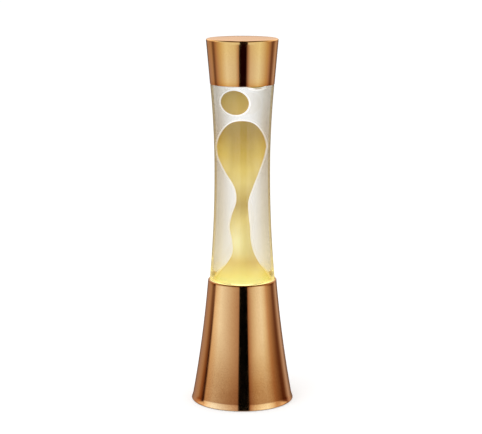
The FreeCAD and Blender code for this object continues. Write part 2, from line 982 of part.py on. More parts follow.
def column_form(spare):
    """The wax that rises from the floor: a cone, a thin wavering neck and a bulb on top. With
    a spare it is the hollow that the liquid keeps round the wax."""
    foot_z = glass_floor_z + wax_gap
    top_z = cap_mouth_z - ball_below_cap - ball_half_height - column_below_ball
    height = top_z - foot_z
    bulb_z = foot_z + column_bulb_share * height
    sections = [(foot_z + share * height, radius, lean) for share, radius, lean in column_sections]
    for angle in (0, 12, 25, 38, 51, 64, 76, 85):
        steep = math.sin(math.radians(angle))
        across = column_bulb_radius * math.cos(math.radians(angle)) ** column_dome_flank
        rise = (top_z - bulb_z) * steep**column_dome_crown
        sections.append((bulb_z + rise + spare * steep, across, column_bulb_lean))
    sections.append((top_z + spare, column_tip_radius, column_bulb_lean))
    wires = []
    for z, radius, lean in sections:
        level = z - spare if z == foot_z else z
        wires.append(Part.Wire([Part.makeCircle(radius + spare, Vector(lean, 0, level), AXIS)]))
    return Part.makeLoft(wires, True, False)


def spheroid(centre, radius, half_height, travel=0.0):
    """An upright spheroid or, with a travel, the form that it sweeps as it rises by that."""
    stretch = FreeCAD.Matrix()
    stretch.scale(1, 1, half_height / radius)
    form = Part.makeSphere(radius).transformGeometry(stretch)
    if travel > 0:
        raised = form.copy()
        raised.translate(Vector(0, 0, travel))
        form = form.fuse([disc(radius, 0, travel), raised])
    form.translate(centre)
    return form


def ball_form(spare, travel=0.0):
    """The wax that floats free above the column."""
    centre = Vector(ball_across, 0, cap_mouth_z - ball_below_cap)
    return spheroid(centre, ball_radius + spare, ball_half_height + spare, travel)


def drop_form(spare):
    """The wax that has risen under the shoulder, halfway behind the cap's mouth."""
    centre = Vector(drop_across, drop_back, cap_mouth_z)
    return spheroid(centre, drop_radius + spare, drop_half_height + spare)


def coil_form(spare):
    """The ring that the wire coil fills, on the bottle's floor."""
    z = glass_floor_z + coil_floor_gap + coil_radius
    return Part.makeTorus(coil_ring_radius, coil_radius + spare, at(0, z))


def clear_liquid():
    """The liquid, from the floor into the neck, hollow where the wax is and where it rises."""
    liquid = bottle_space(fill_gap, fill_z)
    liquid = liquid.cut(column_form(wax_gap))
    liquid = liquid.cut(ball_form(wax_gap, ball_travel))
    return liquid.cut(drop_form(wax_gap))


# The cap.


def cap_form(mouth_radius, top_radius, top_z, rounding):
    """The cup's outer form, or the form of the space in it."""
    form = turned(
        outline(
            [
                at(0, cap_mouth_z),
                at(mouth_radius, cap_mouth_z),
                at(top_radius, top_z),
                at(0, top_z),
            ]
        )
    )
    return round_edge(form, rounding, top_radius, top_z)


def top_cap():
    """Spun and plated metal, closed above, with a rounded edge and a mouth turned true."""
    outside = cap_form(cap_mouth_radius, cap_top_radius, lamp_height, cap_edge_round)
    inside = cap_form(
        cap_bore_radius, cap_top_radius - cap_wall, lamp_height - cap_wall, cap_edge_round - cap_wall
    )
    return outside.cut(inside)


pieces = {
    "base_shell": base_shell(),
    "cord_grommet": cord_grommet(),
    "bottle_seat": bottle_seat(),
    "base_plate": base_plate(),
    "shell_tabs": shell_tabs(),
    "plate_screws": plate_screws(),
    "rubber_feet": rubber_feet(),
    "holder_rod": holder_rod(),
    "rod_washer": rod_washer(),
    "rod_nut": rod_nut(),
    "holder_dome": holder_dome(),
    "holder_skirt": holder_skirt(),
    "holder_core": holder_core(),
    "holder_sleeve": holder_sleeve(),
    "holder_tongue": holder_tongue(),
    "terminal_screws": terminal_screws(),
    "bulb_contact": bulb_contact(),
    "bulb_insulator": bulb_insulator(),
    "bulb_screw_shell": bulb_screw_shell(),
    "bulb_envelope": bulb_envelope(),
    "bulb_stem": bulb_stem(),
    "bulb_leads": bulb_leads(),
    "bulb_filament": bulb_filament(),
    "glass_bottle": glass_bottle(),
    "crown_cap": crown_cap(),
    "crown_liner": crown_liner(),
    "clear_liquid": clear_liquid(),
    "wax_column": column_form(0).cut(coil_form(coil_wax_gap)),
    "wax_coil": coil_form(0),
    "wax_ball": ball_form(0),
    "wax_drop": drop_form(0),
    "top_cap": top_cap(),
}

os.makedirs("parts", exist_ok=True)
for name, shape in pieces.items():
    shape.exportStep("parts/" + name + ".step")
    print(name, len(shape.Solids), "solid(s)", round(shape.Volume, 1), "mm3", shape.isValid())
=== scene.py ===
import bpy
import math
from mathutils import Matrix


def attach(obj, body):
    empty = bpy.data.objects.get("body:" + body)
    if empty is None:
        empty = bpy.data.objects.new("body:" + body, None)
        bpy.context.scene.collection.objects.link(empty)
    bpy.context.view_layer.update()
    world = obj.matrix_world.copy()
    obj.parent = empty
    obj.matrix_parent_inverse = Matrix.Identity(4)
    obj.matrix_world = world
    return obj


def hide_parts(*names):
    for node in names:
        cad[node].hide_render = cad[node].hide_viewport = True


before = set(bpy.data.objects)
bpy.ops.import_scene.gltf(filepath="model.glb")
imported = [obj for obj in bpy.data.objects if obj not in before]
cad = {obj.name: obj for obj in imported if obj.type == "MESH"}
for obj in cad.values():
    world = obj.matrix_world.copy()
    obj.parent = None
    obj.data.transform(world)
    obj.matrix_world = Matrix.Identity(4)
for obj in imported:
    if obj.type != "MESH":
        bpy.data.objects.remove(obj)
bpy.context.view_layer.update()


# The base shell: one sheet of metal, spun over a form, plated with copper and polished. Its rim
# is curled inward for the bottle and its foot turns out to a thin lip. A hole at the back takes
# the grommet of the mains lead.

# Sizes are in millimetres, and a pair is a radius and a height.
BASE_FOOT = (54.4, 8.0)
BASE_RIM = (37.75, 134.6)
BASE_HOLLOW = 1.45
BASE_SHEET = 1.0
RIM_CURL = 1.4
RIM_CURLED_TO = 75.0
LIP_CURVE = 38.0
LIP_END_HEIGHT = 1.3
INLET_HEIGHT = 18.0
INLET_BACK = 53.0
INLET_HOLE = 4.7
DRILL_REACH = 20.0

# How many facets a large polished piece has all round, at how many degrees between two facets
# an edge stays sharp, and below which radius a point counts as on the axis.
FINE_TURNS = 240
SHARP_EDGE = 32
ON_AXIS = 1e-6


def colour(code):
    """The colour that a screen shows for a code such as e2c18d, as the shaders take it."""
    parts = [int(code[i : i + 2], 16) / 255 for i in (0, 2, 4)]
    return tuple(c / 12.92 if c <= 0.04045 else ((c + 0.055) / 1.055) ** 2.4 for c in parts)


class Finish:
    """A material whose nodes are added one by one. Places on the piece are in metres."""

    def __init__(self, name, settings):
        self.material = bpy.data.materials.new(name)
        self.material.use_nodes = True
        self.nodes = self.material.node_tree.nodes
        self.links = self.material.node_tree.links
        self.shader = self.nodes["Principled BSDF"]
        for socket, value in settings.items():
            self.shader.inputs[socket].default_value = value

    def node(self, kind, inputs=(), **settings):
        made = self.nodes.new(kind)
        for name, value in settings.items():
            setattr(made, name, value)
        for socket, value in dict(inputs).items():
            if isinstance(value, bpy.types.NodeSocket):
                self.links.new(value, made.inputs[socket])
            else:
                made.inputs[socket].default_value = value
        return made

    def place(self, stretch=(1, 1, 1)):
        """The point on the piece, with its sides stretched."""
        point = self.node("ShaderNodeTexCoord").outputs["Object"]
        if stretch == (1, 1, 1):
            return point
        return self.node("ShaderNodeMapping", {"Vector": point, "Scale": stretch}).outputs[0]

    def height(self):
        return self.node("ShaderNodeSeparateXYZ", {0: self.place()}).outputs["Z"]

    def grain(self, size, detail=3.0, stretch=(1, 1, 1), roughness=0.5):
        """Cloudy noise whose patches are about that many millimetres across."""
        settings = {
            "Vector": self.place(stretch),
            "Scale": 1000 / size,
            "Detail": detail,
            "Roughness": roughness,
        }
        return self.node("ShaderNodeTexNoise", settings).outputs["Fac"]

    def between(self, value, low, high, first=0.3, last=0.7):
        """Low where the value is at first, high where it is at last, and even between them.
        Most of a grain lies between 0.3 and 0.7."""
        settings = {0: value, 1: first, 2: last, 3: low, 4: high}
        return self.node("ShaderNodeMapRange", settings).outputs[0]

    def ramp(self, value, stops):
        """Colours between stops, each a place from 0 to 1 and a colour."""
        made = self.node("ShaderNodeValToRGB", {0: value})
        points = made.color_ramp.elements
        points[0].position, points[1].position = stops[0][0], stops[-1][0]
        points[0].color, points[1].color = (*stops[0][1], 1), (*stops[-1][1], 1)
        for position, shade in stops[1:-1]:
            points.new(position).color = (*shade, 1)
        return made.outputs[0]

    def mix(self, share, first, second, blend="MIX"):
        """The first colour where the share is 0, and the second where it is 1."""
        made = self.node("ShaderNodeMix", data_type="RGBA", blend_type=blend)
        # A mix has its colours at sockets 6 and 7, and gives one at 2.
        for socket, value in (("Factor", share), (6, first), (7, second)):
            if isinstance(value, bpy.types.NodeSocket):
                self.links.new(value, made.inputs[socket])
            else:
                made.inputs[socket].default_value = (*value, 1) if socket != "Factor" else value
        return made.outputs[2]

    def math(self, operation, first, second=0.0, clamp=False):
        settings = {0: first, 1: second}
        return self.node(
            "ShaderNodeMath", settings, operation=operation, use_clamp=clamp
        ).outputs[0]

    def feed(self, socket, value):
        self.links.new(value, self.shader.inputs[socket])

    def relief(self, height, depth):
        """Bumps of that depth, in millimetres."""
        bump = self.node("ShaderNodeBump", {"Height": height, "Distance": depth / 1000})
        self.feed("Normal", bump.outputs[0])

    def vary(self, grain, stops, roughness=None, depth=None):
        """A grain shades the colour, and the gloss and the relief where these are given."""
        self.feed("Base Color", self.ramp(grain, stops))
        if roughness:
            self.feed("Roughness", self.between(grain, *roughness))
        if depth:
            self.relief(grain, depth)

    def cover(self, *pieces):
        for piece in pieces:
            piece.data.materials.clear()
            piece.data.materials.append(self.material)


def curve(centre, radius, first, last, steps=10):
    """Points on a circle, from one angle above the level to another. A hollow curve, whose
    circle lies outside the piece, has a radius below nought."""
    angles = [math.radians(first + (last - first) * i / steps) for i in range(steps + 1)]
    return [(centre[0] + radius * math.cos(a), centre[1] + radius * math.sin(a)) for a in angles]


def turned(name, section, turns=FINE_TURNS):
    """A turned piece, from its section of radii and heights in millimetres. The section is
    closed, or runs from a point on the axis to another."""
    rows, points, faces = [], [], []
    for radius, z in section:
        if radius < ON_AXIS:
            rows.append([len(points)] * turns)
            points.append((0, 0, z / 1000))
            continue
        rows.append(list(range(len(points), len(points) + turns)))
        for i in range(turns):
            angle = 2 * math.pi * i / turns
            points.append((radius * math.cos(angle) / 1000, radius * math.sin(angle) / 1000, z / 1000))
    on_axis = section[0][0] < ON_AXIS
    for low, high in zip(rows, rows[1:] if on_axis else rows[1:] + rows[:1]):
        for i in range(turns):
            j = (i + 1) % turns
            corners = [low[i], low[j], high[j], high[i]]
            faces.append(list(dict.fromkeys(corners)))
    return piece_of(name, points, faces)


def piece_of(name, points, faces):
    """A smooth piece of mesh that faces outward."""
    mesh = bpy.data.meshes.new(name)
    mesh.from_pydata(points, [], faces)
    mesh.validate()
    piece = bpy.data.objects.new(name, mesh)
    bpy.context.scene.collection.objects.link(piece)
    face_out(mesh)
    smoothed(mesh)
    return piece


def smoothed(mesh):
    mesh.shade_smooth()
    mesh.set_sharp_from_angle(angle=math.radians(SHARP_EDGE))


def face_out(mesh):
    """Turns every face of a closed mesh outward, by the volume that it encloses."""
    volume = 0.0
    for face in mesh.polygons:
        corners = [mesh.vertices[i].co for i in face.vertices]
        for a, b in zip(corners[1:], corners[2:]):
            volume += corners[0].dot(a.cross(b))
    if volume < 0:
        mesh.flip_normals()


def carved(piece, cutter):
    """Cuts one piece out of another, and takes the cutter away."""
    cut = piece.modifiers.new("cut", "BOOLEAN")
    cut.operation = "DIFFERENCE"
    cut.solver = "EXACT"
    cut.object = cutter
    graph = bpy.context.evaluated_depsgraph_get()
    mesh = bpy.data.meshes.new_from_object(piece.evaluated_get(graph))
    piece.modifiers.clear()
    piece.data = mesh
    smoothed(mesh)
    bpy.data.objects.remove(cutter)


def bowed_in(low, high, hollow):
    """The circle of a side that runs from a low point to a high one and bows in between."""
    across, up = high[0] - low[0], high[1] - low[1]
    chord = math.hypot(across, up)
    radius = (chord**2 / 4 + hollow**2) / (2 * hollow)
    reach = (radius - hollow) / chord
    middle = ((low[0] + high[0]) / 2, (low[1] + high[1]) / 2)
    return (middle[0] + up * reach, middle[1] - across * reach), radius


def facing(centre, radius, z):
    """How far above the level a hollow side faces at that height."""
    return math.degrees(math.asin((centre[1] - z) / radius))


def moved(point, angle, distance):
    """The place at a distance from a point, at an angle above the level."""
    turn = math.radians(angle)
    return point[0] + distance * math.cos(turn), point[1] + distance * math.sin(turn)


side_centre, side_curve = bowed_in(BASE_FOOT, BASE_RIM, BASE_HOLLOW)
foot_facing = facing(side_centre, side_curve, BASE_FOOT[1])
rim_facing = facing(side_centre, side_curve, BASE_RIM[1])
lip_centre = moved(BASE_FOOT, foot_facing, LIP_CURVE)
lip_facing = facing(lip_centre, LIP_CURVE, LIP_END_HEIGHT)
rim_centre = moved(BASE_RIM, rim_facing, -RIM_CURL)
rim_end = moved(rim_centre, RIM_CURLED_TO, RIM_CURL - BASE_SHEET / 2)
lip_end = moved(lip_centre, lip_facing, -LIP_CURVE - BASE_SHEET / 2)
inner_side = -side_curve - BASE_SHEET

spun_base = turned(
    "spun_base",
    curve(lip_centre, -LIP_CURVE, lip_facing, foot_facing, 10)
    + curve(side_centre, -side_curve, foot_facing, rim_facing, 44)[1:]
    + curve(rim_centre, RIM_CURL, rim_facing, RIM_CURLED_TO, 12)[1:]
    + curve(rim_end, BASE_SHEET / 2, RIM_CURLED_TO, RIM_CURLED_TO + 180, 10)[1:]
    + curve(rim_centre, RIM_CURL - BASE_SHEET, RIM_CURLED_TO, rim_facing, 6)[1:-1]
    + curve(side_centre, inner_side, rim_facing, foot_facing, 44)
    + curve(lip_centre, -LIP_CURVE - BASE_SHEET, foot_facing, lip_facing, 10)[1:]
    + curve(lip_end, BASE_SHEET / 2, lip_facing + 180, lip_facing + 360, 8)[1:-1],
)
drill_ends = [(INLET_HOLE, -DRILL_REACH), (INLET_HOLE, DRILL_REACH)]
drill = turned("drill", [(0, -DRILL_REACH), *drill_ends, (0, DRILL_REACH)], turns=64)
drill.rotation_euler = (math.radians(90), 0, 0)
drill.location = (0, INLET_BACK / 1000, INLET_HEIGHT / 1000)
carved(spun_base, drill)

# The plating has a fine mottle, which handling makes stronger toward the foot. The curl of the
# rim is painted darker, as painted shade where the bottle's glass shades it. Along its mouth the
# cap's colour is painted darker and more orange, and under its top more yellow, as painted
# reflections. The heights of all this are in metres.
MOTTLE_FADES = (0.020, 0.060)
CURL_STARTS = (0.1338, 0.1348)
CAP_ALONE = (0.30, 0.31)
CAP_SIDE = (0.350, 0.400)

polished_copper = Finish("polished_copper", {"Metallic": 1.0})
cloud = polished_copper.grain(14, detail=4)
mottle = polished_copper.grain(1.6, detail=5, roughness=0.65)
plated = polished_copper.ramp(
    mottle, [(0.25, (0.77, 0.50, 0.235)), (0.75, (0.83, 0.56, 0.275))]
)
handled = polished_copper.ramp(
    mottle, [(0.30, (0.92, 0.89, 0.87)), (0.50, (1, 1, 1)), (0.70, (1.05, 1.06, 1.07))]
)
up_the_metal = polished_copper.height()
toward_foot = polished_copper.between(up_the_metal, 1.0, 0.0, *MOTTLE_FADES)
above_the_curl = polished_copper.between(up_the_metal, 0.0, 1.0, *CURL_STARTS)
on_the_cap = polished_copper.between(up_the_metal, 0.0, 1.0, *CAP_ALONE)
curl_painted_shade = polished_copper.math("SUBTRACT", above_the_curl, on_the_cap, clamp=True)
# Painted reflections: darker and more orange along the cap's mouth, more yellow under its top.
cap_painted_reflection = polished_copper.ramp(
    polished_copper.between(up_the_metal, 0.0, 1.0, *CAP_SIDE),
    [
        (0.02, (0.86, 0.68, 0.45)),
        (0.12, (1.00, 0.95, 0.85)),
        (0.22, (1.00, 1.00, 1.00)),
        (0.45, (1.00, 1.00, 1.00)),
        (0.85, (1.00, 0.98, 0.82)),
    ],
)
copper = polished_copper.mix(toward_foot, plated, handled, "MULTIPLY")
# Painted shade on the curl of the rim.
copper = polished_copper.mix(curl_painted_shade, copper, (0.58, 0.40, 0.26), "MULTIPLY")
copper = polished_copper.mix(on_the_cap, copper, cap_painted_reflection, "MULTIPLY")
polished_copper.feed("Base Color", copper)
polished_copper.feed("Roughness", polished_copper.between(cloud, 0.055, 0.105))
polished_copper.relief(mottle, 0.004)
polished_copper.cover(spun_base)
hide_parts("base_shell")
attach(spun_base, "base")


# The pressed steel inside the base: the seat ring that carries the bottle's heel, and the three
# angle tabs for the plate's screws, all welded in. They are plated with zinc, and so are the
# screws, and the rod, washer and nut that hold the lampholder.

SPANGLES_A_METRE = 420.0

zinc_plated = Finish("zinc_plated", {"Metallic": 1.0})
spangle = zinc_plated.node(
    "ShaderNodeTexVoronoi", {"Vector": zinc_plated.place(), "Scale": SPANGLES_A_METRE}
).outputs["Color"]
dull = zinc_plated.grain(5, detail=5)
zinc_plated.vary(spangle, [(0.1, (0.50, 0.51, 0.50)), (0.9, (0.66, 0.66, 0.63))])
zinc_plated.feed("Roughness", zinc_plated.between(dull, 0.26, 0.46))
zinc_plated.relief(dull, 0.01)
zinc_plated.cover(
    cad["bottle_seat"], cad["shell_tabs"], cad["plate_screws"], cad["holder_rod"],
    cad["rod_washer"], cad["rod_nut"], cad["terminal_screws"],
)


# The soft black rubber: the grommet that is snapped in the inlet hole, and the four feet, whose
# stems are pulled up through the plate.

black_rubber = Finish("black_rubber", {"Specular IOR Level": 0.35})
black_rubber.vary(
    black_rubber.grain(3, detail=6, roughness=0.7),
    [(0.3, (0.018, 0.018, 0.018)), (0.75, (0.045, 0.044, 0.042))],
    roughness=(0.5, 0.72),
    depth=0.03,
)
black_rubber.cover(cad["cord_grommet"], cad["rubber_feet"])


# The base plate: moulded in matt black plastic, with its vents and the raised dish for the
# lampholder. Its face has the fine spark texture of its mould.

moulded_black = Finish("moulded_black", {"Specular IOR Level": 0.45})
moulded_black.vary(
    moulded_black.grain(0.5, detail=2),
    [(0.3, (0.024, 0.023, 0.022)), (0.7, (0.042, 0.040, 0.038))],
    roughness=(0.38, 0.56),
    depth=0.02,
)
moulded_black.cover(cad["base_plate"])


# The lampholder's case: a dome and a skirt pressed from dark phenolic powder, glossy and faintly
# flecked, which lap on the ceramic core.

pressed_phenolic = Finish("pressed_phenolic", {"Coat Weight": 0.3, "Coat Roughness": 0.08})
pressed_phenolic.vary(
    pressed_phenolic.grain(0.9, detail=5, roughness=0.8),
    [(0.35, (0.022, 0.017, 0.014)), (0.62, (0.045, 0.034, 0.027)), (0.72, (0.11, 0.08, 0.06))],
    roughness=(0.22, 0.36),
    depth=0.006,
)
pressed_phenolic.cover(cad["holder_dome"], cad["holder_skirt"])


# The lampholder's core: fired white ceramic with a thin glaze, in which the brass sleeve, the
# centre contact and the terminals are fixed.

fired_ceramic = Finish("fired_ceramic", {"Coat Weight": 0.25})
fired_ceramic.vary(
    fired_ceramic.grain(1.2, detail=6, roughness=0.7),
    [(0.3, colour("e6e3da")), (0.7, colour("f3f1ec"))],
    roughness=(0.25, 0.42),
    depth=0.02,
)
fired_ceramic.cover(cad["holder_core"])


# The brass of the lampholder: the threaded sleeve that takes the bulb, and the sprung tongue
# that touches its tip. Rolled sheet, so the grain runs one way.

rolled_brass = Finish("rolled_brass", {"Metallic": 1.0})
rolled_brass.vary(
    rolled_brass.grain(0.6, detail=4, stretch=(1, 1, 0.08)),
    [(0.3, (0.66, 0.46, 0.19)), (0.7, (0.80, 0.62, 0.32))],
    roughness=(0.2, 0.36),
    depth=0.005,
)
rolled_brass.cover(cad["holder_sleeve"], cad["holder_tongue"])


# The bulb's metal: a threaded nickel-plated cap, a blob of solder for its centre contact, and
# the two lead-in wires.

nickel_plated = Finish("nickel_plated", {"Metallic": 1.0})
nickel_plated.vary(
    nickel_plated.grain(4, detail=5),
    [(0.3, (0.62, 0.59, 0.53)), (0.7, (0.76, 0.74, 0.69))],
    roughness=(0.16, 0.3),
    depth=0.006,
)
nickel_plated.cover(cad["bulb_screw_shell"], cad["bulb_leads"])

soft_solder = Finish("soft_solder", {"Metallic": 1.0})
soft_solder.vary(
    soft_solder.grain(0.8, detail=4),
    [(0.3, (0.50, 0.51, 0.53)), (0.7, (0.66, 0.67, 0.68))],
    roughness=(0.3, 0.5),
    depth=0.02,
)
soft_solder.cover(cad["bulb_contact"])


# The bulb's glass: a black insulator pressed in the cap, a drawn stem that carries the wires,
# and the blown envelope, silvered inside up to its shoulder and frosted across its face.

# The heights, in metres, between which the silver thins out to the frosting.
SILVERING_ENDS = (0.0931, 0.0939)

pressed_black_glass = Finish("pressed_black_glass", {"Specular IOR Level": 0.6})
pressed_black_glass.vary(
    pressed_black_glass.grain(2.5, detail=3),
    [(0.3, (0.012, 0.012, 0.015)), (0.7, (0.028, 0.026, 0.034))],
    roughness=(0.04, 0.12),
)
pressed_black_glass.cover(cad["bulb_insulator"])

drawn_glass = Finish("drawn_glass", {"Transmission Weight": 1.0, "IOR": 1.5, "Roughness": 0.02})
drawn_glass.vary(drawn_glass.grain(4), [(0.3, colour("eef3ec")), (0.7, colour("fafcf9"))])
drawn_glass.cover(cad["bulb_stem"])

silvered_bulb = Finish("silvered_bulb", {"IOR": 1.5, "Emission Strength": 1.0})
silvered = silvered_bulb.between(silvered_bulb.height(), 1.0, 0.0, *SILVERING_ENDS)
silvered_bulb.vary(silvered, [(0.0, colour("f6f0e2")), (1.0, (0.86, 0.86, 0.85))])
silvered_bulb.feed("Metallic", silvered)
silvered_bulb.feed("Roughness", silvered_bulb.between(silvered, 0.45, 0.06, 0.0, 1.0))
silvered_bulb.feed(
    "Emission Color", silvered_bulb.ramp(silvered, [(0.0, colour("ffe9b8")), (0.6, (0, 0, 0))])
)
silvered_bulb.relief(silvered_bulb.grain(0.35, detail=2), 0.006)
silvered_bulb.cover(cad["bulb_envelope"])


# The filament: a fine coiled wire of tungsten, which glows, because the lamp is lit. It hangs
# between the two lead-in wires, which are pinched on its ends.

glowing_tungsten = Finish("glowing_tungsten", {"Roughness": 0.5, "Emission Strength": 3.0})
heat = glowing_tungsten.grain(0.7, detail=2)
glowing_tungsten.vary(heat, [(0.3, (0.3, 0.25, 0.2)), (0.7, (0.5, 0.42, 0.3))])
glowing_tungsten.feed(
    "Emission Color", glowing_tungsten.ramp(heat, [(0.3, colour("ffb45a")), (0.7, colour("ffe0a0"))])
)
glowing_tungsten.cover(cad["bulb_filament"])


# The bottle: blown clear glass, three millimetres thick, with a waist, a rounded heel and a
# punt below. It stands on the seat ring, and its neck ends in the bead for a crown cap.

# The side is upright at the waist. It passes through a point below it and through the shoulder.
GLASS_WALL = 3.0
GLASS_FOOT = 124.0
GLASS_FLOOR = 134.0
HEEL_ROUND = 12.0
FLOOR_ROUND = 8.0
PUNT = (22.0, 3.0)
WAIST = (30.3, 257.0)
LOWER_THROUGH = (35.788, 136.0)
SHOULDER = (34.5, 349.11)
SHOULDER_ROUND = 4.0
SHOULDER_TURN = 60.0
NECK = 12.6
NECK_WALL = 3.2
NECK_ROOT = 5.0
NECK_TOP = 388.3

# Each ring of the neck has a radius, a height and a rounding.
FINISH_RING = (13.3, 3.5, 0.9)
TRANSFER_RING = (14.6, 3.0, 1.0)
TRANSFER_RING_FOOT = 377.3


def waisted(through):
    """The circle of a side that is upright at the waist and passes through a point."""
    out, up = through[0] - WAIST[0], through[1] - WAIST[1]
    radius = (up**2 + out**2) / (2 * out)
    return (WAIST[0] + radius, WAIST[1]), radius


def floor_edge(floor, rounding, inset):
    """The rounding between a level floor and the glass's lower side, and where it ends."""
    centre, radius = waisted(LOWER_THROUGH)
    z = floor + rounding
    end = math.degrees(math.asin((centre[1] - z) / (radius + inset + rounding)))
    reach = (radius + inset + rounding) * math.cos(math.radians(end))
    return curve((centre[0] - reach, z), rounding, -90, end, 16), end


def glass_face(floor, rounding, inset, neck, root, top):
    """The glass's section from its floor, outside or within by the inset, to its neck's top."""
    low_centre, low_curve = waisted(LOWER_THROUGH)
    high_centre, high_curve = waisted(SHOULDER)
    heel, heel_end = floor_edge(floor, rounding, inset)
    shoulder_end = -facing(high_centre, high_curve, SHOULDER[1])
    shoulder_centre = (SHOULDER[0] - SHOULDER_ROUND, SHOULDER[1])
    bend = SHOULDER_ROUND - inset
    high = moved(shoulder_centre, SHOULDER_TURN, bend)
    slope = math.radians(90 - SHOULDER_TURN)
    root_z = high[1] + (high[0] - neck) * math.tan(slope)
    # The neck's root is a hollow rounding between the slope and the upright neck.
    back = root * math.tan((math.pi / 2 - slope) / 2)
    root_centre = (neck + root, root_z + back)
    return (
        heel
        + curve(low_centre, -low_curve - inset, heel_end, 0, 48)[1:]
        + curve(high_centre, -high_curve - inset, 0, -shoulder_end, 36)[1:]
        + curve(shoulder_centre, bend, 0, SHOULDER_TURN, 10)[1:]
        + curve(root_centre, -root, SHOULDER_TURN, 0, 8)
        + [(neck, top)]
    )


def bead(ring_radius, height, rounding, foot, rounded_above):
    """A bead round the neck, rounded on one edge, as points of the section going up."""
    top = foot + height
    if rounded_above:
        return [(NECK, foot), (ring_radius, foot)] + curve(
            (ring_radius - rounding, top - rounding), rounding, 0, 90, 6
        )
    return (
        [(NECK, foot)]
        + curve((ring_radius - rounding, foot + rounding), rounding, -90, 0, 6)
        + [(ring_radius, top), (NECK, top)]
    )


punt_curve = (PUNT[0] ** 2 + PUNT[1] ** 2) / (2 * PUNT[1])
punt_end = math.degrees(math.acos(PUNT[0] / punt_curve))
outer_face = (
    [(0, GLASS_FOOT + PUNT[1])]
    + curve((0, GLASS_FOOT + PUNT[1] - punt_curve), punt_curve, 90, punt_end, 10)[1:]
    + glass_face(GLASS_FOOT, HEEL_ROUND, 0, NECK, NECK_ROOT, TRANSFER_RING_FOOT)[:-1]
    + bead(*TRANSFER_RING, TRANSFER_RING_FOOT, False)
    + bead(*FINISH_RING, NECK_TOP - FINISH_RING[1], True)
)
inner_face = glass_face(
    GLASS_FLOOR, FLOOR_ROUND, GLASS_WALL, NECK - NECK_WALL, NECK_ROOT + NECK_WALL, NECK_TOP
)
blown_bottle = turned("blown_bottle", outer_face + inner_face[::-1] + [(0, GLASS_FLOOR)])

# Outside, the glass's colour is painted grey-brown where it is seen at a slant, as painted shade,
# and lighter and yellower toward its foot, as painted light from the wax and the bulb. At its very
# edge it is olive, as thick glass is, and painted gold by the bulb's light, most toward the foot.
# The bulb below makes the lowest few millimetres shine yellow, and sends a little of its light up
# the glass to the edge; both are painted as a glow. The heights are in metres.
GLASS_SIDE = (0.124, 0.354)
HEEL_INSIDE = (0.134, 0.142)
FLOOR_GLOWS_TO = 0.13402

lit_glass = {"Transmission Weight": 1.0, "IOR": 1.5, "Roughness": 0.0, "Emission Strength": 1.0}
bottle_glass = Finish("bottle_glass", lit_glass)
edge_on = bottle_glass.node("ShaderNodeLayerWeight", {"Blend": 0.5}).outputs["Facing"]
up_the_wall = bottle_glass.between(bottle_glass.height(), 0.0, 1.0, *GLASS_SIDE)
# Painted shade where the glass is seen at a slant, lighter and yellower low down as painted light.
painted_slant_shade_and_light = bottle_glass.ramp(
    up_the_wall,
    [
        (0.095, colour("eedc9c")),
        (0.12, colour("ece0c3")),
        (0.20, colour("e2d7b9")),
        (0.34, colour("d4c8ac")),
        (0.54, colour("c9bda6")),
        (0.74, colour("b4a388")),
        (0.93, colour("b7b0a1")),
    ],
)
# The very edge: the glass's own olive, and painted gold light from the bulb toward the foot.
edge_tint_and_painted_light = bottle_glass.ramp(
    up_the_wall,
    [
        (0.12, colour("f2e09c")),
        (0.16, colour("e8d28c")),
        (0.22, colour("e0c984")),
        (0.30, colour("d4bc76")),
        (0.44, colour("b09652")),
        (0.64, colour("9a854c")),
        (0.93, colour("918252")),
    ],
)
turned_away = bottle_glass.ramp(
    edge_on,
    [
        (0.000, (0, 0, 0)),
        (0.030, (0.16, 0.16, 0.16)),
        (0.085, (0.40, 0.40, 0.40)),
        (0.185, (0.69, 0.69, 0.69)),
        (0.300, (0.92, 0.92, 0.92)),
        (0.400, (1, 1, 1)),
    ],
)
very_edge = bottle_glass.ramp(edge_on, [(0.58, (0, 0, 0)), (0.63, (1, 1, 1))])
body_shade = bottle_glass.mix(turned_away, (1, 1, 1), painted_slant_shade_and_light)
bottle_glass.feed("Base Color", bottle_glass.mix(very_edge, body_shade, edge_tint_and_painted_light))
heel_glow = bottle_glass.ramp(
    up_the_wall,
    [
        (0.000, (0.36, 0.35, 0.17)),
        (0.052, (0.36, 0.36, 0.18)),
        (0.060, (0.02, 0.015, 0.002)),
        (0.110, (0.0, 0.0, 0.0)),
    ],
)
edge_glow = bottle_glass.ramp(
    up_the_wall,
    [
        (0.08, (0.34, 0.29, 0.12)),
        (0.30, (0.20, 0.16, 0.06)),
        (0.60, (0.06, 0.045, 0.01)),
        (0.90, (0.02, 0.018, 0.006)),
    ],
)
lit_edge = bottle_glass.ramp(edge_on, [(0.62, (0, 0, 0)), (0.82, (1, 1, 1))])
bottle_glass.feed("Emission Color", bottle_glass.mix(lit_edge, heel_glow, edge_glow))
bottle_glass.cover(blown_bottle)

# Inside, the glass is clear. A yellow glow from the bulb is painted on it at the rounding, and
# its floor is painted glowing with the bulb's light.
bottle_lining = Finish("bottle_lining", lit_glass)
bottle_lining.vary(bottle_lining.grain(30), [(0.3, colour("fefefe")), (0.7, colour("ffffff"))])
up_the_heel = bottle_lining.between(bottle_lining.height(), 0.0, 1.0, *HEEL_INSIDE)
bottle_lining.feed(
    "Emission Color", bottle_lining.ramp(up_the_heel, [(0.0, (0.06, 0.045, 0.005)), (0.7, (0, 0, 0))])
)
